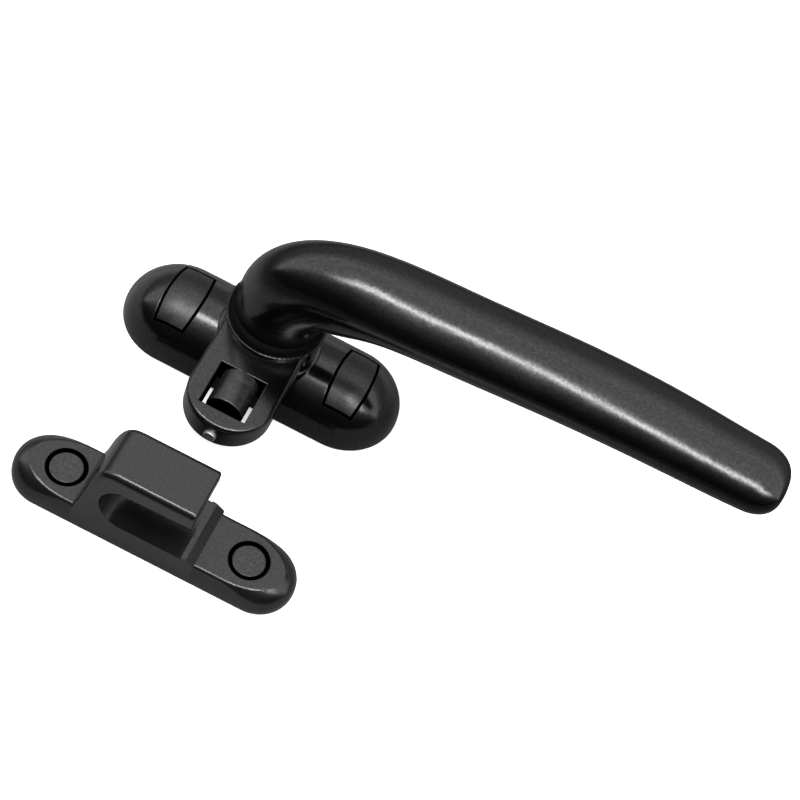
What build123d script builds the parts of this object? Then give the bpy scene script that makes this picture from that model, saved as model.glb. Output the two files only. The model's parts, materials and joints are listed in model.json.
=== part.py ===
"""Window handle set: a cranked lever with a roller tongue on a domed base, and its hooked keeper.

Frame: millimetres. The origin is the lever's pivot axis where it meets the mounting plane (z = 0).
+X runs along the base towards the tip of the grip, +Z points out of the sash, and the tongue and the
keeper lie on the -Y side.
"""

import os
from math import cos, radians, sin

from build123d import *

# ---------------------------------------------------------------- driving dimensions
# base
base_length = 76.0
base_width = 29.2
base_height = 11.0
base_wall_height = 0.2
boss_radius = 13.4
boss_top = 12.25
boss_rounding = 0.7
base_screw_spacing = 47.0

# holes for the 4 mm countersunk screws that a fitter adds
screw_hole_radius = 2.1
screw_head_radius = 3.7
screw_head_angle = 90.0

# screw covers on the base
cover_length = 7.2
cover_bulge = 0.8
cover_width = 18.0
cover_gap = 0.55
cover_edge_rounding = 0.2
cover_seat_height = 6.4
snap_rib_length = 1.6

# pivot and its clearances
bush_radius = 6.2
journal_radius = 5.0
running_clearance = 0.05
pocket_radius = 11.0
pocket_top = 7.6
thrust_washer_radius = 12.2
thrust_washer_thickness = 0.3

# stop: the lug of the stop disc swings a quarter turn in a window of the pocket
swing = 90.0
stop_disc_radius = 8.6
stop_disc_clearance = 0.4
stop_lug_radius = 10.6
stop_lug_angle = 40.0
stop_lug_start = 180.0
stop_room_angle = 0.7
stop_window_bottom = 5.6

# parts stacked on the spindle inside the pocket, by thickness
friction_washer_thickness = 0.6
stop_disc_thickness = 1.2
disc_spring_height = 0.9
disc_spring_thickness = 0.45
clamp_washer_thickness = 0.7
lock_nut_thickness = 2.6
disc_spring_radius = 8.0
clamp_washer_radius = 7.0
lock_nut_across_flats = 10.0
thread_radius = 3.0
thread_clearance = 0.2
spindle_square = 7.0
spindle_foot_gap = 0.5
spindle_chamfer = 0.4

# back plate that closes the pocket
plate_length = 36.0
plate_width = 23.0
plate_thickness = 1.0
plate_clearance = 0.1
plate_screw_x = 14.4
plate_screw_radius = 1.25
plate_screw_head_radius = 2.1
plate_screw_length = 5.0
plate_screw_hole_spare = 0.2

# tongue
tongue_width = 22.0
tongue_reach = 36.2
tongue_top = 19.9
tongue_edge_rounding = 1.2
tongue_lower_rounding = 0.5
hub_radius = 12.4
window_width = 12.0
window_near = 18.9
window_far = 31.4
window_edge_rounding = 0.3
drive_square = 8.0
dowel_radius = 1.2
dowel_offset = 8.4
dowel_length = 6.0

# roller and its pin
roller_radius = 4.8
roller_length = 10.0
roller_centre = 24.1
roller_axis_height = 16.1
roller_edge_rounding = 0.5
pin_radius = 1.6
pin_start = 15.5
pin_proud = 1.0
pin_end_rounding = 0.35

# lever
flange_radius = 12.9
flange_height = 1.0
flange_edge_rounding = 0.3
cove_radius = 12.4
cove_height = 2.0
neck_radius = 11.0
spindle_socket_radius = 6.0
spindle_socket_depth = 12.0
lever_tip = 125.0
tip_rounding = 8.5

# keeper
keeper_x = -2.1
keeper_y = -56.1
keeper_length = 73.4
keeper_width = 18.4
keeper_draft = 4.6
keeper_flat = 6.4
keeper_edge_rounding = 1.0
keeper_screw_spacing = 48.0
keeper_screw_depth = 3.4
arm_edge_rounding = 1.6
arm_corner_rounding = 0.7
cap_radius = 4.1
cap_hole_radius = 5.05
cap_skirt_height = 0.6
cap_seat_gap = 0.1
cap_edge_rounding = 0.3

# hook of the keeper, seen from the side, measured from the keeper's middle
hook_left = -18.4
hook_back = -9.5
arm_right = 9.9
arm_top = 26.1
arm_underside = 21.6
slot_floor = 7.9
slot_left = -12.3
slot_middle = 13.9
slot_ceiling = 20.9
rib_right = 13.3
rib_middle = 11.1
rib_shoulder = 8.3
rib_top = 8.6

# ---------------------------------------------------------------- worked-out dimensions
base_radius = base_width / 2
base_end = base_length / 2 - base_radius
dome_rise = base_height - base_wall_height
base_screw_x = base_screw_spacing / 2
keeper_screw_x = keeper_screw_spacing / 2
tongue_bottom = boss_top + thrust_washer_thickness + running_clearance
tongue_thickness = tongue_top - tongue_bottom
tongue_radius = tongue_width / 2
tongue_centre = tongue_reach - tongue_radius
spindle_end = plate_thickness + spindle_foot_gap
cove_bottom = tongue_top + flange_height
cove_top = cove_bottom + cove_height
bottom = (Align.CENTER, Align.CENTER, Align.MIN)

os.makedirs("parts", exist_ok=True)


def save(solid, name):
    """Label a finished piece and write it as its own STEP file."""
    solid.label = name
    export_step(solid, f"parts/{name}.step")


def cover_outline(margin):
    """Outline of a screw cover, grown by a margin: straight ends and slightly bowed long sides."""
    end_x = cover_length / 2 + margin
    side_y = cover_width / 2 + margin
    Line((-end_x, -side_y), (end_x, -side_y))
    ThreePointArc((end_x, -side_y), (end_x + cover_bulge, 0), (end_x, side_y))
    Line((end_x, side_y), (-end_x, side_y))
    ThreePointArc((-end_x, side_y), (-end_x - cover_bulge, 0), (-end_x, -side_y))


def is_recess_rim(edge):
    """True for an edge where the recess of a screw cover meets the dome."""
    middle = edge.center()
    near_cover = abs(abs(middle.X) - base_screw_x) < cover_length
    return near_cover and middle.Z > cover_seat_height + 1 and edge.length > cover_length


# ---------------------------------------------------------------- base housing
# outer shape of the base: a short upright wall under an elliptical dome, the same on the round ends
with BuildPart() as base_blank:
    with BuildSketch(Plane.YZ.offset(-base_end)):
        with BuildLine():
            Polyline(
                (-base_radius, base_wall_height),
                (-base_radius, 0),
                (base_radius, 0),
                (base_radius, base_wall_height),
            )
            EllipticalCenterArc(
                (0, base_wall_height), base_radius, dome_rise, start_angle=0, arc_size=180
            )
        make_face()
    extrude(amount=2 * base_end)
    for end_x in (-base_end, base_end):
        with BuildSketch(Plane(origin=(end_x, 0, 0), x_dir=(1, 0, 0), z_dir=(0, -1, 0))):
            with BuildLine():
                Polyline(
                    (0, base_height), (0, 0), (base_radius, 0), (base_radius, base_wall_height)
                )
                EllipticalCenterArc(
                    (0, base_wall_height), base_radius, dome_rise, start_angle=0, arc_size=90
                )
            make_face()
        revolve(axis=Axis((end_x, 0, 0), (0, 0, 1)))

with BuildPart() as base_housing:
    add(base_blank.part)
    # round boss around the pivot
    with BuildSketch(Plane.XZ):
        with BuildLine():
            Polyline(
                (boss_radius - boss_rounding, boss_top),
                (0, boss_top),
                (0, 1),
                (boss_radius, 1),
                (boss_radius, boss_top - boss_rounding),
            )
            RadiusArc(
                (boss_radius, boss_top - boss_rounding),
                (boss_radius - boss_rounding, boss_top),
                -boss_rounding,
            )
        make_face()
    revolve(axis=Axis.Z)
    # bore for the pivot bush
    Cylinder(bush_radius, boss_top, align=bottom, mode=Mode.SUBTRACT)
    # mechanism pocket: wide below, and above it just the stop disc's circle and the lug's window
    Cylinder(pocket_radius, stop_window_bottom, align=bottom, mode=Mode.SUBTRACT)
    Cylinder(
        stop_disc_radius + stop_disc_clearance, pocket_top, align=bottom, mode=Mode.SUBTRACT
    )
    with BuildSketch(Plane.XY):
        with BuildLine():
            room_rim = CenterArc(
                (0, 0),
                pocket_radius,
                stop_lug_start - stop_room_angle,
                swing + stop_lug_angle + 2 * stop_room_angle,
            )
            Line((0, 0), room_rim @ 0)
            Line(room_rim @ 1, (0, 0))
        make_face()
    extrude(amount=pocket_top, mode=Mode.SUBTRACT)
    # recess of the back plate and its two threaded holes
    with BuildSketch(Plane.XY):
        SlotOverall(plate_length + 2 * plate_clearance, plate_width + 2 * plate_clearance)
    extrude(amount=plate_thickness, mode=Mode.SUBTRACT)
    with BuildSketch(Plane.XY):
        with Locations((-plate_screw_x, 0), (plate_screw_x, 0)):
            Circle(plate_screw_radius)
    extrude(amount=plate_screw_length + plate_screw_hole_spare, mode=Mode.SUBTRACT)
    # recesses of the screw covers, with a countersunk hole in the floor of each
    for cover_x in (-base_screw_x, base_screw_x):
        with BuildSketch(Plane(origin=(cover_x, 0, cover_seat_height))):
            with BuildLine():
                cover_outline(cover_gap)
            make_face()
        extrude(amount=base_height, mode=Mode.SUBTRACT)
    rims = base_housing.edges().filter_by(is_recess_rim)
    fillet(rims, radius=cover_edge_rounding)
    with Locations((-base_screw_x, 0, cover_seat_height), (base_screw_x, 0, cover_seat_height)):
        CounterSinkHole(
            screw_hole_radius,
            screw_head_radius,
            depth=cover_seat_height,
            counter_sink_angle=screw_head_angle,
        )
save(base_housing.part, "base_housing")

# ---------------------------------------------------------------- screw covers
# each cover follows the dome, sits in its recess and is held by four small ribs on its long sides
for cover_name, cover_x in (("screw_cover_left", -base_screw_x), ("screw_cover_right", base_screw_x)):
    with BuildPart() as screw_cover:
        with BuildSketch(Plane(origin=(cover_x, 0, cover_seat_height))):
            with BuildLine():
                cover_outline(0)
            make_face()
        extrude(amount=base_height)
        add(base_blank.part, mode=Mode.INTERSECT)
        crown = screw_cover.faces().sort_by(Axis.Z)[-1]
        fillet(crown.edges(), radius=cover_edge_rounding)
        with BuildSketch(Plane.XY.offset(cover_seat_height)):
            with Locations((cover_x, -cover_width / 4), (cover_x, cover_width / 4)):
                Rectangle(cover_length + 2 * cover_gap, snap_rib_length)
        extrude(amount=snap_rib_length / 2)
    save(screw_cover.part, cover_name)

# ---------------------------------------------------------------- pivot bush and washers
with BuildPart() as pivot_bush:
    with BuildSketch(Plane.XY.offset(pocket_top)):
        Circle(bush_radius)
        Circle(journal_radius + running_clearance, mode=Mode.SUBTRACT)
    extrude(amount=boss_top - pocket_top)
save(pivot_bush.part, "pivot_bush")

with BuildPart() as thrust_washer:
    with BuildSketch(Plane.XY.offset(boss_top)):
        Circle(thrust_washer_radius)
        Circle(bush_radius, mode=Mode.SUBTRACT)
    extrude(amount=thrust_washer_thickness)
save(thrust_washer.part, "thrust_washer")

friction_washer_bottom = pocket_top - friction_washer_thickness
with BuildPart() as friction_washer:
    with BuildSketch(Plane.XY.offset(friction_washer_bottom)):
        Circle(stop_disc_radius)
        Circle(bush_radius, mode=Mode.SUBTRACT)
    extrude(amount=friction_washer_thickness)
save(friction_washer.part, "friction_washer")

# ---------------------------------------------------------------- spindle and what turns with it
stop_disc_bottom = friction_washer_bottom - running_clearance - stop_disc_thickness

with BuildPart() as pivot_spindle:
    # threaded end
    with BuildSketch(Plane.XY.offset(spindle_end)):
        Circle(thread_radius)
    extrude(amount=stop_disc_bottom - spindle_end)
    # square that drives the stop disc
    with BuildSketch(Plane.XY.offset(stop_disc_bottom)):
        Rectangle(spindle_square, spindle_square)
    extrude(amount=pocket_top - stop_disc_bottom)
    # journal in the bush
    with BuildSketch(Plane.XY.offset(pocket_top)):
        Circle(journal_radius)
    extrude(amount=tongue_bottom - pocket_top)
    # square that drives the tongue
    with BuildSketch(Plane.XY.offset(tongue_bottom)):
        Rectangle(drive_square, drive_square)
    extrude(amount=tongue_thickness)
    # plain end fixed in the lever's foot
    with BuildSketch(Plane.XY.offset(tongue_top)):
        Circle(spindle_socket_radius)
    extrude(amount=spindle_socket_depth - spindle_foot_gap)
    chamfer(pivot_spindle.faces().sort_by(Axis.Z)[-1].edges(), length=spindle_chamfer)
    chamfer(pivot_spindle.faces().sort_by(Axis.Z)[0].edges(), length=spindle_chamfer)
save(pivot_spindle.part, "pivot_spindle")

with BuildPart() as stop_disc:
    with BuildSketch(Plane.XY.offset(stop_disc_bottom)):
        with BuildLine():
            lug_rim = CenterArc((0, 0), stop_lug_radius, stop_lug_start, stop_lug_angle)
            Line((0, 0), lug_rim @ 0)
            Line(lug_rim @ 1, (0, 0))
        make_face()
        Circle(stop_disc_radius)
        Rectangle(spindle_square, spindle_square, mode=Mode.SUBTRACT)
    extrude(amount=stop_disc_thickness)
save(stop_disc.part, "stop_disc")

# coned spring washer that presses the stop disc against the friction washer
disc_spring_bottom = stop_disc_bottom - disc_spring_height
disc_spring_inner = thread_radius + thread_clearance
with BuildPart() as disc_spring:
    with BuildSketch(Plane.XZ):
        with BuildLine():
            Polyline(
                (disc_spring_inner, disc_spring_bottom),
                (disc_spring_inner, disc_spring_bottom + disc_spring_thickness),
                (disc_spring_radius, stop_disc_bottom),
                (disc_spring_radius, stop_disc_bottom - disc_spring_thickness),
                close=True,
            )
        make_face()
    revolve(axis=Axis.Z)
save(disc_spring.part, "disc_spring")

clamp_washer_bottom = disc_spring_bottom - clamp_washer_thickness
with BuildPart() as clamp_washer:
    with BuildSketch(Plane.XY.offset(clamp_washer_bottom)):
        Circle(clamp_washer_radius)
        Circle(thread_radius, mode=Mode.SUBTRACT)
    extrude(amount=clamp_washer_thickness)
save(clamp_washer.part, "clamp_washer")

with BuildPart() as lock_nut:
    with BuildSketch(Plane.XY.offset(clamp_washer_bottom - lock_nut_thickness)):
        RegularPolygon(lock_nut_across_flats / 2, 6, major_radius=False)
        Circle(thread_radius, mode=Mode.SUBTRACT)
    extrude(amount=lock_nut_thickness)
save(lock_nut.part, "lock_nut")

# ---------------------------------------------------------------- back plate and its screws
with BuildPart() as back_plate:
    with BuildSketch(Plane.XY):
        SlotOverall(plate_length, plate_width)
    extrude(amount=plate_thickness)
    with Locations(
        Location((-plate_screw_x, 0, 0), (180, 0, 0)), Location((plate_screw_x, 0, 0), (180, 0, 0))
    ):
        CounterSinkHole(
            plate_screw_radius,
            plate_screw_head_radius,
            depth=plate_thickness,
            counter_sink_angle=screw_head_angle,
        )
save(back_plate.part, "back_plate")

plate_screw_head_depth = plate_screw_head_radius - plate_screw_radius
with BuildPart() as back_plate_screws:
    for end_x in (-plate_screw_x, plate_screw_x):
        with BuildSketch(Plane(origin=(end_x, 0, 0), x_dir=(1, 0, 0), z_dir=(0, -1, 0))):
            with BuildLine():
                Polyline(
                    (0, 0),
                    (plate_screw_head_radius, 0),
                    (plate_screw_radius, plate_screw_head_depth),
                    (plate_screw_radius, plate_screw_length),
                    (0, plate_screw_length),
                    close=True,
                )
            make_face()
        revolve(axis=Axis((end_x, 0, 0), (0, 0, 1)))
save(back_plate_screws.part, "back_plate_screws")

# ---------------------------------------------------------------- tongue
with BuildPart() as tongue_plate:
    with BuildSketch(Plane.XY.offset(tongue_bottom)):
        with Locations((0, -tongue_centre / 2)):
            Rectangle(tongue_width, tongue_centre)
        with Locations((0, -tongue_centre)):
            Circle(tongue_radius)
    extrude(amount=tongue_thickness)
    fillet(tongue_plate.faces().sort_by(Axis.Z)[-1].edges(), radius=tongue_edge_rounding)
    fillet(tongue_plate.faces().sort_by(Axis.Z)[0].edges(), radius=tongue_lower_rounding)
    with BuildSketch(Plane.XY.offset(tongue_bottom)):
        Circle(hub_radius)
    extrude(amount=tongue_thickness)
    # window for the roller
    with BuildSketch(Plane.XY.offset(tongue_bottom)):
        with Locations((0, -(window_near + window_far) / 2)):
            Rectangle(window_width, window_far - window_near)
    extrude(amount=tongue_thickness, mode=Mode.SUBTRACT)
    window_rim = tongue_plate.faces().sort_by(Axis.Z)[-1].inner_wires()[0]
    fillet(window_rim.edges(), radius=window_edge_rounding)
    # drive square and dowel holes
    with BuildSketch(Plane.XY.offset(tongue_bottom)):
        Rectangle(drive_square, drive_square)
    extrude(amount=tongue_thickness, mode=Mode.SUBTRACT)
    with BuildSketch(Plane.XY.offset(tongue_top)):
        with Locations((-dowel_offset, 0), (dowel_offset, 0)):
            Circle(dowel_radius)
    extrude(amount=-dowel_length / 2, mode=Mode.SUBTRACT)
    # hole for the roller's pin, drilled in from the tip
    with BuildSketch(Plane.XZ.offset(pin_start)):
        with Locations((0, roller_axis_height)):
            Circle(pin_radius)
    extrude(amount=tongue_reach, mode=Mode.SUBTRACT)
save(tongue_plate.part, "tongue_plate")

with BuildPart() as tongue_dowels:
    with BuildSketch(Plane.XY.offset(tongue_top - dowel_length / 2)):
        with Locations((-dowel_offset, 0), (dowel_offset, 0)):
            Circle(dowel_radius)
    extrude(amount=dowel_length)
save(tongue_dowels.part, "tongue_dowels")

with BuildPart() as tongue_roller:
    with BuildSketch(Plane.XZ.offset(roller_centre - roller_length / 2)):
        with Locations((0, roller_axis_height)):
            Circle(roller_radius)
    extrude(amount=roller_length)
    fillet(tongue_roller.edges(), radius=roller_edge_rounding)
    with BuildSketch(Plane.XZ.offset(roller_centre - roller_length / 2)):
        with Locations((0, roller_axis_height)):
            Circle(pin_radius + running_clearance)
    extrude(amount=roller_length, mode=Mode.SUBTRACT)
save(tongue_roller.part, "tongue_roller")

with BuildPart() as roller_pin:
    with BuildSketch(Plane.XZ.offset(pin_start)):
        with Locations((0, roller_axis_height)):
            Circle(pin_radius)
    extrude(amount=tongue_reach + pin_proud - pin_start)
    fillet(roller_pin.faces().sort_by(Axis.Y)[0].edges(), radius=pin_end_rounding)
save(roller_pin.part, "roller_pin")

# ---------------------------------------------------------------- lever
# stations along the lever: centre x and z, lean of the section away from level, half thickness in
# the lever's own plane, half width across it
stations = [
    (0.4, tongue_top + flange_height, 0.0, 10.7, 11.2),
    (0.2, 26.5, 2.0, 11.4, 10.8),
    (1.7, 32.9, 14.0, 11.7, 10.7),
    (6.4, 38.7, 36.0, 11.6, 10.7),
    (14.0, 42.9, 62.0, 10.8, 11.0),
    (25.0, 46.3, 80.0, 8.5, 11.3),
    (41.0, 48.1, 85.0, 7.7, 11.2),
    (68.0, 50.6, 86.0, 7.2, 11.1),
    (96.0, 51.4, 90.0, 6.8, 10.6),
]
tip_centre_x = lever_tip - tip_rounding
tip_height = 50.8
tip_half_thickness = 6.3
tip_half_width = 9.7
tip_bluntness = 0.62
tip_last_turn = 86.0
tip_steps = 7
for step in range(tip_steps):
    turn = radians(tip_last_turn * step / (tip_steps - 1))
    shrink = cos(turn) ** tip_bluntness
    stations.append(
        (
            tip_centre_x + tip_rounding * sin(turn),
            tip_height,
            91.0,
            tip_half_thickness * shrink,
            tip_half_width * shrink,
        )
    )

with BuildPart() as handle_lever:
    for station_x, station_z, lean, half_thickness, half_width in stations:
        along = (sin(radians(lean)), 0, cos(radians(lean)))
        with BuildSketch(Plane(origin=(station_x, 0, station_z), x_dir=(0, 1, 0), z_dir=along)):
            Ellipse(half_width, half_thickness)
    loft()
    # round flange that clamps the tongue's hub, with a cove up to the neck
    with BuildSketch(Plane.XY.offset(tongue_top)):
        Circle(flange_radius)
    extrude(amount=flange_height)
    flange_top = handle_lever.edges().filter_by(GeomType.CIRCLE).sort_by(Axis.Z)[-1]
    fillet(flange_top, radius=flange_edge_rounding)
    with BuildSketch(Plane.XZ):
        with BuildLine():
            Polyline((cove_radius, cove_bottom), (0, cove_bottom), (0, cove_top), (neck_radius, cove_top))
            RadiusArc((neck_radius, cove_top), (cove_radius, cove_bottom), cove_height)
        make_face()
    revolve(axis=Axis.Z)
    # socket of the spindle and holes of the dowels
    with BuildSketch(Plane.XY.offset(tongue_top)):
        Circle(spindle_socket_radius)
    extrude(amount=spindle_socket_depth, mode=Mode.SUBTRACT)
    with BuildSketch(Plane.XY.offset(tongue_top)):
        with Locations((-dowel_offset, 0), (dowel_offset, 0)):
            Circle(dowel_radius)
    extrude(amount=dowel_length / 2, mode=Mode.SUBTRACT)
save(handle_lever.part, "handle_lever")

# ---------------------------------------------------------------- keeper
keeper_floor = Plane(origin=(keeper_x, keeper_y, 0))
keeper_side = Plane(origin=(keeper_x, keeper_y, 0), x_dir=(1, 0, 0), z_dir=(0, -1, 0))

# rings of the keeper's outer shape: height, half of the straight part, reach of the round end past
# it, and half width
keeper_rings = [
    (0.0, (keeper_length - keeper_width) / 2, keeper_width / 2, keeper_width / 2),
    (2.4, 27.2, 9.4, 9.0),
    (4.6, 24.0, 11.6, 8.55),
    (keeper_flat, 20.0, 13.0, 7.7),
]


def is_arm_edge(edge):
    """True for the edges on both sides of the arm's top and of the shoulder behind it."""
    middle = edge.center()
    on_side = abs(middle.Y - keeper_y) > keeper_width / 4
    on_top = middle.Z > arm_underside and edge.length > arm_right
    on_shoulder = middle.X < keeper_x + slot_left and middle.Z > slot_middle
    return on_side and (on_top or on_shoulder)


# hook: seen from the side it is a block with a slot that opens towards +X, and a low rib at its mouth
with BuildPart() as keeper_hook:
    with BuildSketch(keeper_side):
        with BuildLine():
            Polyline(
                (hook_left, keeper_flat),
                (hook_left, 0),
                (rib_right, 0),
                (rib_right, keeper_flat),
                (rib_middle, rib_shoulder),
                (arm_right, rib_top),
                (arm_right, slot_floor),
                (-4.5, slot_floor),
            )
            ThreePointArc((-4.5, slot_floor), (slot_left, slot_middle), (-8.2, slot_ceiling))
            Polyline(
                (-8.2, slot_ceiling),
                (arm_right, arm_underside),
                (arm_right, arm_top),
                (hook_back, arm_top),
            )
            Spline(
                (hook_back, arm_top),
                (-15.0, 21.7),
                (-16.9, 13.2),
                (hook_left, keeper_flat),
                tangents=((-1, 0), (-1, -4)),
            )
        make_face()
    extrude(amount=keeper_width / 2, both=True)
    # the cast sides lean in
    with BuildSketch(keeper_floor):
        Rectangle(keeper_length, keeper_width)
    extrude(amount=arm_top, taper=keeper_draft, mode=Mode.INTERSECT)
    # soft edges along the arm and its shoulder, and at its free end
    fillet(keeper_hook.edges().filter_by(is_arm_edge), radius=arm_edge_rounding)
    end_face = keeper_hook.faces().filter_by(Axis.X).sort_by(Axis.Z)[-1]
    fillet(end_face.edges().sort_by(Axis.Z)[1:], radius=arm_corner_rounding)

with BuildPart() as keeper_body:
    # the sides and the round ends curve in towards the flat top
    for ring_height, straight, reach, half_width in keeper_rings:
        with BuildSketch(keeper_floor.offset(ring_height)):
            with BuildLine():
                Line((-straight, -half_width), (straight, -half_width))
                EllipticalCenterArc((straight, 0), reach, half_width, start_angle=-90, arc_size=180)
                Line((straight, half_width), (-straight, half_width))
                EllipticalCenterArc((-straight, 0), reach, half_width, start_angle=90, arc_size=180)
            make_face()
    loft()
    fillet(keeper_body.faces().sort_by(Axis.Z)[-1].edges(), radius=keeper_edge_rounding)
    add(keeper_hook.part)
    cap_places = [
        (keeper_x - keeper_screw_x, keeper_y, keeper_screw_depth),
        (keeper_x + keeper_screw_x, keeper_y, keeper_screw_depth),
    ]
    with Locations(*cap_places):
        Cylinder(cap_hole_radius, keeper_flat, align=bottom, mode=Mode.SUBTRACT)
        CounterSinkHole(
            screw_hole_radius,
            screw_head_radius,
            depth=keeper_screw_depth,
            counter_sink_angle=screw_head_angle,
        )
save(keeper_body.part, "keeper_body")

# push-in caps: a skirt grips the hole and a smaller disc shows at the top
cap_seat = keeper_screw_depth + cap_seat_gap
for cap_name, cap_x in (
    ("keeper_cap_left", keeper_x - keeper_screw_x),
    ("keeper_cap_right", keeper_x + keeper_screw_x),
):
    with BuildPart() as keeper_cap:
        with BuildSketch(Plane(origin=(cap_x, keeper_y, cap_seat))):
            Circle(cap_hole_radius)
        extrude(amount=cap_skirt_height)
        with BuildSketch(Plane(origin=(cap_x, keeper_y, cap_seat))):
            Circle(cap_radius)
        extrude(amount=keeper_flat - cap_seat_gap - cap_seat)
        fillet(keeper_cap.faces().sort_by(Axis.Z)[-1].edges(), radius=cap_edge_rounding)
    save(keeper_cap.part, cap_name)
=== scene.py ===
"""Looks of the window handle set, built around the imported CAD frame. Metres, same frame as the CAD."""

import json
import math

import bpy
from mathutils import Matrix, Vector


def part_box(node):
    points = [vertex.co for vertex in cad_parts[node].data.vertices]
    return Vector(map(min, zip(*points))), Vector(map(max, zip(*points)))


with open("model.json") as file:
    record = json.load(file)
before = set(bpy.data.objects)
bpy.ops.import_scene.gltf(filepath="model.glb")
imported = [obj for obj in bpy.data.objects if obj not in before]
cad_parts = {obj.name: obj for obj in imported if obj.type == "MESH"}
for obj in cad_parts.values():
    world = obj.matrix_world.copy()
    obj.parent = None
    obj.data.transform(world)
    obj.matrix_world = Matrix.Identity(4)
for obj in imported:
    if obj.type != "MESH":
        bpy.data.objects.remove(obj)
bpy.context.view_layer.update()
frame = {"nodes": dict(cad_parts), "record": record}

scene = bpy.context.scene
nodes = frame["nodes"]

# ---------------------------------------------------------------- camera
CAMERA_AZIMUTH = -0.25
CAMERA_ELEVATION = 55.83
CAMERA_ROLL = 27.35
CAMERA_TARGET = Vector((0.03625, 0.00813, 0.0))
CAMERA_DISTANCE = 0.4394
CAMERA_LENS = 76.5
CAMERA_SENSOR = 36.0
CAMERA_CLIP = 0.01


def add_camera():
    """Camera in front of the set, looking down on it and rolled about its line of sight."""
    azimuth = math.radians(CAMERA_AZIMUTH)
    elevation = math.radians(CAMERA_ELEVATION)
    back = Vector((
        math.sin(azimuth) * math.cos(elevation),
        -math.cos(azimuth) * math.cos(elevation),
        math.sin(elevation),
    ))
    right = Vector((math.cos(azimuth), math.sin(azimuth), 0.0))
    level = Matrix((right, back.cross(right), back)).transposed()
    turned = level @ Matrix.Rotation(math.radians(CAMERA_ROLL), 3, "Z")
    data = bpy.data.cameras.new("camera")
    data.lens = CAMERA_LENS
    data.sensor_width = CAMERA_SENSOR
    data.clip_start = CAMERA_CLIP
    camera = bpy.data.objects.new("camera", data)
    place = CAMERA_TARGET + back * CAMERA_DISTANCE
    camera.matrix_world = Matrix.Translation(place) @ turned.to_4x4()
    scene.collection.objects.link(camera)
    scene.camera = camera


# ---------------------------------------------------------------- shader nodes
class Tree:
    """Short calls for making shader nodes."""

    def __init__(self, tree):
        self.tree = tree
        tree.nodes.clear()

    def put(self, socket, value):
        """Link a socket, or set a constant on it."""
        if isinstance(value, bpy.types.NodeSocket):
            self.tree.links.new(value, socket)
        else:
            socket.default_value = value

    def new(self, kind, inputs=None, **settings):
        node = self.tree.nodes.new(kind)
        for key, value in settings.items():
            setattr(node, key, value)
        for key, value in (inputs or {}).items():
            self.put(node.inputs[key], value)
        return node

    def place(self):
        """Coordinates that stay with the object as its body moves."""
        return self.new("ShaderNodeTexCoord").outputs["Object"]

    def split(self, vector):
        return self.new("ShaderNodeSeparateXYZ", {"Vector": vector}).outputs

    def stretch(self, vector, scale):
        return self.new("ShaderNodeMapping", {"Vector": vector, "Scale": scale}).outputs["Vector"]

    def math(self, operation, *values):
        node = self.new("ShaderNodeMath", operation=operation)
        for index, value in enumerate(values):
            self.put(node.inputs[index], value)
        return node.outputs[0]

    def square(self, value):
        return self.math("MULTIPLY", value, value)

    def away(self, value, middle):
        """Distance of a value from a middle."""
        return self.math("ABSOLUTE", self.math("SUBTRACT", value, middle))

    def hump(self, square):
        """One in the middle, falling off as a bell with the square of the distance."""
        return self.math("EXPONENT", self.math("MULTIPLY", square, -1.0))

    def blend(self, factor, first, second):
        """Mix of two colours."""
        inputs = {"Factor": factor, 6: first, 7: second}
        return self.new("ShaderNodeMix", inputs, data_type="RGBA").outputs[2]

    def two(self, first, second, share):
        """Weighted sum of two patterns; the share is the first one's."""
        return self.math("MULTIPLY_ADD", first, share, self.math("MULTIPLY", second, 1.0 - share))

    def ramp(self, factor, stops):
        node = self.new("ShaderNodeValToRGB", {"Fac": factor})
        elements = node.color_ramp.elements
        while len(elements) < len(stops):
            elements.new(0.5)
        for element, (place, value) in zip(elements, stops):
            element.position = place
            color = (value, value, value) if isinstance(value, float) else value
            element.color = (*color, 1.0)
        return node.outputs["Color"]

    def noise(self, vector, scale, detail=2.0, roughness=0.5):
        inputs = {"Vector": vector, "Scale": scale, "Detail": detail, "Roughness": roughness}
        return self.new("ShaderNodeTexNoise", inputs).outputs["Fac"]

    def spread(self, factor, low, high, start=0.3, end=0.7):
        """Map start to end, by default the range a noise mostly covers, onto low to high."""
        inputs = {"Value": factor, "From Min": start, "From Max": end, "To Min": low, "To Max": high}
        return self.new("ShaderNodeMapRange", inputs).outputs["Result"]


def new_material(name):
    material = bpy.data.materials.new(name)
    material.use_nodes = True
    return material, Tree(material.node_tree)


SHINE_LOW = 0.36
SHINE_HIGH = 0.64
# near-black colour and high roughness of the painted shade laid in gaps and hollows
PAINTED_SHADE_COLOR = (0.0003, 0.0003, 0.0003, 1.0)
PAINTED_SHADE_ROUGHNESS = 0.9


def finish_material(tree, color, roughness, height, distance, painted_shade=None, crown=None, **shader):
    """One Principled shader with a bump; constants go on its own sockets. Painted shade darkens the colour
    and takes the shine away.
    """
    bump = tree.new("ShaderNodeBump", {"Strength": 1.0, "Distance": distance, "Height": height})
    if crown is not None:
        rounded = tree.new("ShaderNodeBump", {"Strength": 1.0, "Distance": 1.0, "Height": crown})
        tree.put(bump.inputs["Normal"], rounded.outputs["Normal"])
    shine = tree.spread(height, SHINE_LOW, SHINE_HIGH)
    if painted_shade is not None:
        color = tree.blend(painted_shade, color, PAINTED_SHADE_COLOR)
        roughness = tree.math("MAXIMUM", roughness, tree.math("MULTIPLY", painted_shade, PAINTED_SHADE_ROUGHNESS))
        shine = tree.math("MULTIPLY", shine, tree.math("SUBTRACT", 1.0, painted_shade))
    inputs = {
        "Base Color": color,
        "Roughness": roughness,
        "Specular IOR Level": shine,
        "Normal": bump.outputs["Normal"],
    }
    for key, value in shader.items():
        inputs[key.replace("_", " ")] = value
    principled = tree.new("ShaderNodeBsdfPrincipled", inputs)
    tree.new("ShaderNodeOutputMaterial", {"Surface": principled.outputs["BSDF"]})


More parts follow.
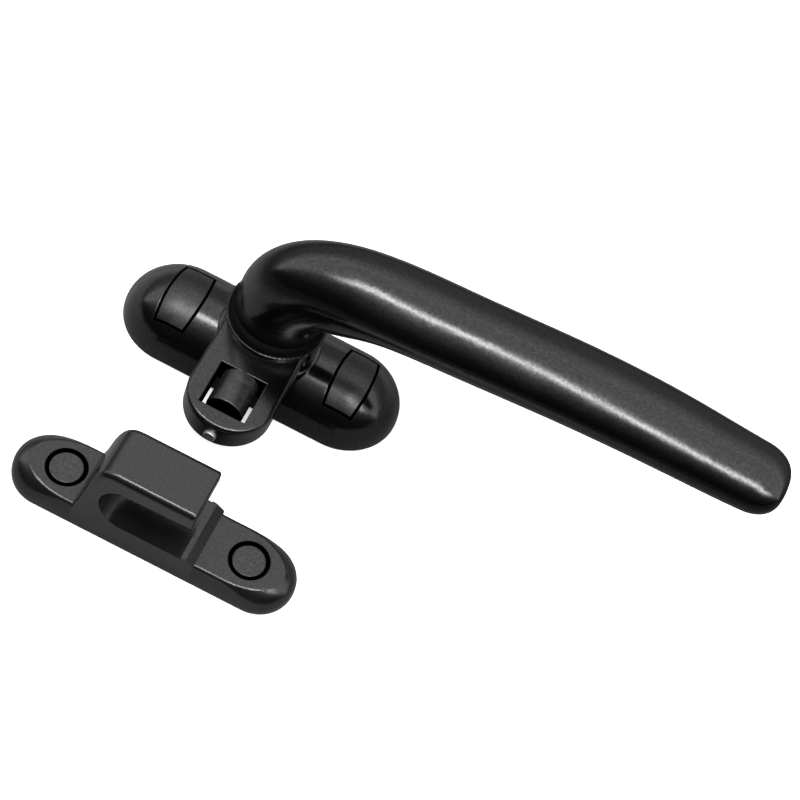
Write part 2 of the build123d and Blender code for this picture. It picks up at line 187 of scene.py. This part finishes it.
# ---------------------------------------------------------------- places, from the frame
base_low, base_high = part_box("base_housing")
cover_low, cover_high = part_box("screw_cover_right")
left_cap_low, left_cap_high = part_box("keeper_cap_left")
right_cap_low, right_cap_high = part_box("keeper_cap_right")
tongue_low, tongue_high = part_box("tongue_plate")
roller_low, roller_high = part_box("tongue_roller")

BASE_END_X = base_high.x - base_high.y
COVER_BULGE = 0.0008
COVER_GAP = 0.00055
COVER_X = (cover_low.x + cover_high.x) / 2
COVER_HALF_LENGTH = (cover_high.x - cover_low.x) / 2 - COVER_BULGE
COVER_HALF_WIDTH = cover_high.y
KEEPER_X = (left_cap_low.x + right_cap_high.x) / 2
KEEPER_Y = (right_cap_low.y + right_cap_high.y) / 2
CAP_X = (right_cap_low.x + right_cap_high.x) / 2 - KEEPER_X
CAP_HOLE_RADIUS = (right_cap_high.y - right_cap_low.y) / 2
CAP_BRIGHT_DEPTH = 0.0002
WINDOW_HALF_WIDTH = 0.006
WINDOW_NEAR = -0.0189
WINDOW_FAR = -0.0314
WINDOW_BRIGHT_DEPTH = 0.00035
COVE_MIDDLE = tongue_high.z + 0.002
COVE_HALF_BELOW = 0.0013
COVE_HALF_ABOVE = 0.0075
# strength of the painted shade in the cove
COVE_PAINTED_SHADE = 0.85
ROLLER_MIDDLE = (roller_low.y + roller_high.y) / 2
ROLLER_BRIGHT_HALF = 0.0048
PIN_BRIGHT_LENGTH = 0.0007


# ---------------------------------------------------------------- painted shade in the narrow gaps
PAINTED_SHADE_BLUR = 0.00008


def above(tree, value, limit):
    """One above the limit, nought below it, with a short blend."""
    return tree.spread(value, 0.0, 1.0, limit - PAINTED_SHADE_BLUR, limit + PAINTED_SHADE_BLUR)


def below(tree, value, limit):
    """One below the limit, nought above it, with a short blend."""
    return tree.spread(value, 1.0, 0.0, limit - PAINTED_SHADE_BLUR, limit + PAINTED_SHADE_BLUR)


def cover_edge_distance(tree, place, margin):
    """How far a point lies outside a screw cover's outline, grown by a margin."""
    split = tree.split(place)
    along = tree.away(tree.math("ABSOLUTE", split["X"]), COVER_X)
    across = tree.math("ABSOLUTE", split["Y"])
    share = tree.math("DIVIDE", across, COVER_HALF_WIDTH + margin)
    bow = tree.math("MULTIPLY", tree.math("SUBTRACT", 1.0, tree.square(share)), COVER_BULGE)
    side = tree.math("ADD", bow, COVER_HALF_LENGTH + margin)
    past_end = tree.math("SUBTRACT", across, COVER_HALF_WIDTH + margin)
    return tree.math("MAXIMUM", tree.math("SUBTRACT", along, side), past_end)


def recess_wall_painted_shade(tree, place):
    """Painted shade on the walls of the recesses of the screw covers."""
    return below(tree, cover_edge_distance(tree, place, COVER_GAP), PAINTED_SHADE_BLUR)


def cover_side_painted_shade(tree, place):
    """Painted shade on the sides of the screw covers."""
    return above(tree, cover_edge_distance(tree, place, 0.0), -PAINTED_SHADE_BLUR)


def cap_hole_painted_shade(tree, place):
    """Painted shade on the walls of the keeper's cap holes."""
    split = tree.split(place)
    along = tree.math("SUBTRACT", tree.away(split["X"], KEEPER_X), CAP_X)
    across = tree.math("SUBTRACT", split["Y"], KEEPER_Y)
    distance = tree.math("SQRT", tree.math("ADD", tree.square(along), tree.square(across)))
    return below(tree, distance, CAP_HOLE_RADIUS + PAINTED_SHADE_BLUR)


def window_painted_shade(tree, place):
    """Painted shade on the walls of the tongue's window."""
    split = tree.split(place)
    across = tree.math("SUBTRACT", WINDOW_HALF_WIDTH, tree.math("ABSOLUTE", split["X"]))
    near = tree.math("SUBTRACT", WINDOW_NEAR, split["Y"])
    far = tree.math("SUBTRACT", split["Y"], WINDOW_FAR)
    deep = tree.math("SUBTRACT", tongue_high.z - WINDOW_BRIGHT_DEPTH, split["Z"])
    inside = tree.math("MINIMUM", tree.math("MINIMUM", across, near), tree.math("MINIMUM", far, deep))
    return above(tree, inside, -PAINTED_SHADE_BLUR)


def neck_cove_painted_shade(tree, place):
    """Painted shade, with the shine taken away, in the cove at the foot of the lever's neck, thinning out
    up the neck.
    """
    offset = tree.math("SUBTRACT", tree.split(place)["Z"], COVE_MIDDLE)
    downward = tree.math("DIVIDE", offset, -COVE_HALF_BELOW)
    upward = tree.math("DIVIDE", offset, COVE_HALF_ABOVE)
    share = tree.math("SUBTRACT", 1.0, tree.square(tree.math("MAXIMUM", downward, upward)))
    return tree.math("MULTIPLY", tree.math("MAXIMUM", share, 0.0), COVE_PAINTED_SHADE)


def roller_end_painted_shade(tree, place):
    """Painted shade on the ends of the roller."""
    return above(tree, tree.away(tree.split(place)["Y"], ROLLER_MIDDLE), ROLLER_BRIGHT_HALF)


def pin_shaft_painted_shade(tree, place):
    """Painted shade on the shaft of the pin; only its peened end is left bright."""
    return above(tree, tree.split(place)["Y"], tongue_low.y + PIN_BRIGHT_LENGTH)


def cap_side_painted_shade(tree, place):
    """Painted shade on the sides and the skirt of the caps."""
    return below(tree, tree.split(place)["Z"], right_cap_high.z - CAP_BRIGHT_DEPTH)


# ---------------------------------------------------------------- crown of the base
CROWN = 14.0


def base_crown(tree, place):
    """Drop away from the base's middle line, in metres, that rounds the gloss of its dome a little more."""
    split = tree.split(place)
    past_end = tree.math("SUBTRACT", tree.math("ABSOLUTE", split["X"]), BASE_END_X)
    along = tree.square(tree.math("MAXIMUM", past_end, 0.0))
    return tree.math("MULTIPLY", tree.math("ADD", along, tree.square(split["Y"])), -CROWN)


# ---------------------------------------------------------------- materials
def on(tree, place, mask):
    """A mask made for this material, or none."""
    return mask and mask(tree, place)


def powder_coat(name, dark, light, rough, grain, depth, painted_shade=None, crown=None):
    """Powder coat: fine orange peel, specks in the colour and slightly uneven gloss."""
    material, tree = new_material(name)
    place = tree.place()
    peel = tree.noise(place, grain, 3.0, 0.55)
    cloud = tree.noise(place, 90.0, 4.0, 0.6)
    specks = tree.noise(place, grain * 2.2, 1.0)
    color = tree.ramp(tree.two(specks, cloud, 0.6), [(0.3, dark), (0.7, light)])
    roughness = tree.spread(cloud, rough - 0.03, rough + 0.03)
    finish_material(tree, color, roughness, peel, depth, on(tree, place, painted_shade), on(tree, place, crown))
    return material


def turned_plastic(name, dark, light, rough, squeeze, depth, painted_shade=None):
    """Machined plastic: fine rings round the axis, and a faint mottle."""
    material, tree = new_material(name)
    place = tree.place()
    rings = tree.noise(tree.stretch(place, squeeze), 1.0, 3.0, 0.6)
    mottle = tree.noise(place, 700.0, 4.0, 0.65)
    mix = tree.two(rings, mottle, 0.35)
    color = tree.ramp(mix, [(0.32, dark), (0.68, light)])
    roughness = tree.spread(mottle, rough - 0.07, rough + 0.07)
    finish_material(tree, color, roughness, mix, depth, on(tree, place, painted_shade))
    return material


def moulded_plastic(name, dark, light, rough, grain, depth, painted_shade=None, crown=None):
    """Moulded plastic with a fine spark-eroded texture."""
    material, tree = new_material(name)
    place = tree.place()
    texture = tree.noise(place, grain, 4.0, 0.6)
    cloud = tree.noise(place, 220.0, 3.0, 0.6)
    color = tree.ramp(tree.two(texture, cloud, 0.5), [(0.34, dark), (0.66, light)])
    roughness = tree.spread(cloud, rough - 0.06, rough + 0.06)
    finish_material(tree, color, roughness, texture, depth, on(tree, place, painted_shade), on(tree, place, crown))
    return material


def metal(name, dark, light, rough, squeeze, depth, painted_shade=None):
    """Bare or plated metal with drawn-out grinding marks."""
    material, tree = new_material(name)
    place = tree.place()
    marks = tree.noise(tree.stretch(place, squeeze), 1.0, 4.0, 0.6)
    cloud = tree.noise(place, 400.0, 3.0, 0.6)
    color = tree.ramp(cloud, [(0.3, dark), (0.7, light)])
    roughness = tree.spread(marks, rough - 0.08, rough + 0.08)
    finish_material(tree, color, roughness, marks, depth, on(tree, place, painted_shade), Metallic=1.0)
    return material


# dark and light colour, roughness, then grain in cycles per metre or squeeze by axis, then bump depth
SATIN_BLACK = ((0.0004, 0.0004, 0.0005), (0.0014, 0.0014, 0.0015), 0.17, 1500.0, 0.000006)
MATT_BLACK = ((0.0025, 0.0025, 0.0026), (0.0065, 0.0065, 0.0067), 0.19, 2300.0, 0.00003)
COVER_BLACK = ((0.001, 0.001, 0.0011), (0.003, 0.003, 0.0031), 0.38, 1800.0, 0.00002)
CAP_BLACK = ((0.001, 0.001, 0.0011), (0.006, 0.006, 0.0062), 0.34, 1400.0, 0.00004)
ACETAL = ((0.004, 0.004, 0.0045), (0.014, 0.014, 0.015), 0.34, (60.0, 5200.0, 60.0), 0.00006)
STEEL = ((0.42, 0.42, 0.43), (0.62, 0.62, 0.63), 0.30, (2500.0, 120.0, 2500.0), 0.00002)
PIN_STEEL = ((0.34, 0.34, 0.35), (0.52, 0.52, 0.53), 0.36, (1500.0, 1500.0, 1500.0), 0.00004)
ZINC = ((0.40, 0.41, 0.43), (0.58, 0.59, 0.62), 0.34, (180.0, 3200.0, 3200.0), 0.00002)
SPRING = ((0.16, 0.15, 0.15), (0.28, 0.27, 0.26), 0.36, (900.0, 900.0, 900.0), 0.00002)
NATURAL_NYLON = ((0.62, 0.60, 0.52), (0.72, 0.70, 0.62), 0.45, 900.0, 0.00002)
BLACK_NYLON = ((0.008, 0.008, 0.008), (0.016, 0.016, 0.016), 0.45, 900.0, 0.00002)

by_slot = {
    "matt_black_coat": powder_coat("matt_black_coat", *MATT_BLACK, cap_hole_painted_shade),
    "black_cover_plastic": moulded_plastic("black_cover_plastic", *COVER_BLACK, cover_side_painted_shade, base_crown),
    "black_cap_plastic": moulded_plastic("black_cap_plastic", *CAP_BLACK, cap_side_painted_shade),
    "grey_acetal": turned_plastic("grey_acetal", *ACETAL, roller_end_painted_shade),
    "bright_steel": metal("bright_steel", *STEEL),
    "zinc_plated_steel": metal("zinc_plated_steel", *ZINC),
    "spring_steel": metal("spring_steel", *SPRING),
    "natural_nylon": moulded_plastic("natural_nylon", *NATURAL_NYLON),
    "black_nylon": moulded_plastic("black_nylon", *BLACK_NYLON),
}
# nodes whose painted shade is their own
by_node = {
    "base_housing": powder_coat("satin_black_coat_base", *SATIN_BLACK, recess_wall_painted_shade, base_crown),
    "handle_lever": powder_coat("satin_black_coat_lever", *SATIN_BLACK, neck_cove_painted_shade),
    "tongue_plate": powder_coat("satin_black_coat_tongue", *SATIN_BLACK, window_painted_shade),
    "roller_pin": metal("bright_steel_pin", *PIN_STEEL, pin_shaft_painted_shade),
}
slots = {part["node"]: part["material_slot"] for part in frame["record"]["subparts"]}
for name, node in nodes.items():
    node.data.materials.clear()
    node.data.materials.append(by_node.get(name) or by_slot[slots[name]])

# ---------------------------------------------------------------- floor
FLOOR_DEPTH = -0.0004
FLOOR_SIZE = 3.0
FLOOR_TONES = [(0.3, 0.86), (0.7, 0.90)]
# lifts the floor's soft shadows towards white
FLOOR_GLOW = 0.3
# painted light on the floor where the parts mirror it: how pale it is, by its distance from the set in
# parts of the reach
FLOOR_PAINTED_LIGHT = [(0.0, 0.13), (0.35, 0.12), (0.85, 0.015)]
FLOOR_IN_GLOSS_REACH = 0.3
FLOOR_DARKEST = 0.01
# painted pools of light in front and on the left, and a painted shadow between tongue and keeper:
# x, y, reach in x and y, amount
FLOOR_POOLS = [
    (0.020, -0.095, 0.080, 0.030, 0.20),
    (-0.085, -0.010, 0.045, 0.050, 0.14),
    (0.000, -0.046, 0.018, 0.009, -0.11),
]


def painted_floor_light(tree, place):
    """Painted light and shade on the floor where the parts mirror it."""
    distance = tree.new("ShaderNodeVectorMath", {0: place}, operation="LENGTH").outputs["Value"]
    tone = tree.ramp(tree.math("DIVIDE", distance, FLOOR_IN_GLOSS_REACH), FLOOR_PAINTED_LIGHT)
    split = tree.split(place)
    for pool_x, pool_y, reach_x, reach_y, amount in FLOOR_POOLS:
        along = tree.math("DIVIDE", tree.math("SUBTRACT", split["X"], pool_x), reach_x)
        across = tree.math("DIVIDE", tree.math("SUBTRACT", split["Y"], pool_y), reach_y)
        bell = tree.hump(tree.math("ADD", tree.square(along), tree.square(across)))
        lit = tree.math("ADD", tone, tree.math("MULTIPLY", bell, amount))
        tone = tree.math("MAXIMUM", lit, FLOOR_DARKEST)
    return tone


def add_floor():
    """Plain pale floor; where the parts mirror it, painted light and shade tone it down."""
    half = FLOOR_SIZE / 2
    mesh = bpy.data.meshes.new("floor")
    corners = [(-half, -half), (half, -half), (half, half), (-half, half)]
    mesh.from_pydata([(x, y, FLOOR_DEPTH) for x, y in corners], [], [(0, 1, 2, 3)])
    floor = bpy.data.objects.new("floor", mesh)
    scene.collection.objects.link(floor)
    material, tree = new_material("pale_floor")
    place = tree.place()
    pale = tree.ramp(tree.noise(place, 14.0, 3.0), FLOOR_TONES)
    seen = tree.new("ShaderNodeLightPath").outputs["Is Camera Ray"]
    color = tree.blend(seen, painted_floor_light(tree, place), pale)
    finish_material(
        tree, color, 0.8, tree.noise(place, 500.0), 0.00001,
        Emission_Color=(1.0, 1.0, 1.0, 1.0), Emission_Strength=tree.math("MULTIPLY", seen, FLOOR_GLOW),
    )
    mesh.materials.append(material)


# ---------------------------------------------------------------- light
WHITE = (1.0, 1.0, 1.0, 1.0)
# radiance of the studio by angle from straight up, in degrees, positive towards the front
STUDIO = [
    (-180, 0.0), (-100, 0.22), (-75, 0.34), (-60, 0.52), (-48, 1.1), (-38, 1.75), (-24, 1.6),
    (-10, 1.8), (4, 1.9), (18, 1.3), (28, 0.62), (38, 0.36), (50, 0.15), (62, 0.06), (88, 0.02),
    (102, 0.01), (180, 0.0),
]
STUDIO_BRIGHTEST = 4.0

# long light box: its lean to the front in parts of the span, by its angle to the right from minus
# the span to the span
STRIP_SPAN = 30.0
STRIP_LEAN = [(0.0, 0.48), (0.2, 0.22), (0.37, 0.05), (0.5, 0.25), (0.62, 0.48), (0.74, 0.55), (1.0, 0.8)]
STRIP_WIDTH = 5.0
STRIP_STRENGTH = 21.0
STRIP_LEFT = -32.0
STRIP_RIGHT = 50.0


def studio_light(tree, tilt):
    """Broad, even light from above and behind."""
    stops = [((angle + 180) / 360, value / STUDIO_BRIGHTEST) for angle, value in STUDIO]
    turn = tree.spread(tilt, 0.0, 1.0, -180.0, 180.0)
    return tree.math("MULTIPLY", tree.ramp(turn, stops), STUDIO_BRIGHTEST)


def strip_light(tree, tilt, side):
    """Long box over the grip, fading out to its left and right."""
    lean = tree.ramp(tree.spread(side, 0.0, 1.0, -STRIP_SPAN, STRIP_SPAN), STRIP_LEAN)
    offset = tree.math("SUBTRACT", tilt, tree.math("MULTIPLY", lean, STRIP_SPAN))
    bell = tree.hump(tree.square(tree.math("DIVIDE", offset, STRIP_WIDTH)))
    left = tree.math("DIVIDE", side, STRIP_LEFT)
    right = tree.math("DIVIDE", side, STRIP_RIGHT)
    fade = tree.hump(tree.math("POWER", tree.math("MAXIMUM", left, right), 4.0))
    return tree.math("MULTIPLY", tree.math("MULTIPLY", bell, fade), STRIP_STRENGTH)


def add_light():
    """Soft studio light; the background behind the set is plain and pale."""
    world = bpy.data.worlds.new("studio")
    scene.world = world
    world.use_nodes = True
    tree = Tree(world.node_tree)
    split = tree.split(tree.new("ShaderNodeTexCoord").outputs["Generated"])
    forward = tree.math("MULTIPLY", split["Y"], -1.0)
    tilt = tree.math("DEGREES", tree.math("ARCTAN2", forward, split["Z"]))
    side = tree.math("DEGREES", tree.math("ARCTAN2", split["X"], split["Z"]))
    strength = tree.math("ADD", studio_light(tree, tilt), strip_light(tree, tilt, side))
    light = tree.new("ShaderNodeBackground", {"Color": WHITE, "Strength": strength})
    pale = tree.new("ShaderNodeBackground", {"Color": WHITE, "Strength": 1.0})
    seen = tree.new("ShaderNodeLightPath").outputs["Is Camera Ray"]
    mix = tree.new("ShaderNodeMixShader", {0: seen, 1: light.outputs[0], 2: pale.outputs[0]})
    tree.new("ShaderNodeOutputWorld", {"Surface": mix.outputs[0]})


add_camera()
add_floor()
add_light()
scene.view_settings.view_transform = "Standard"
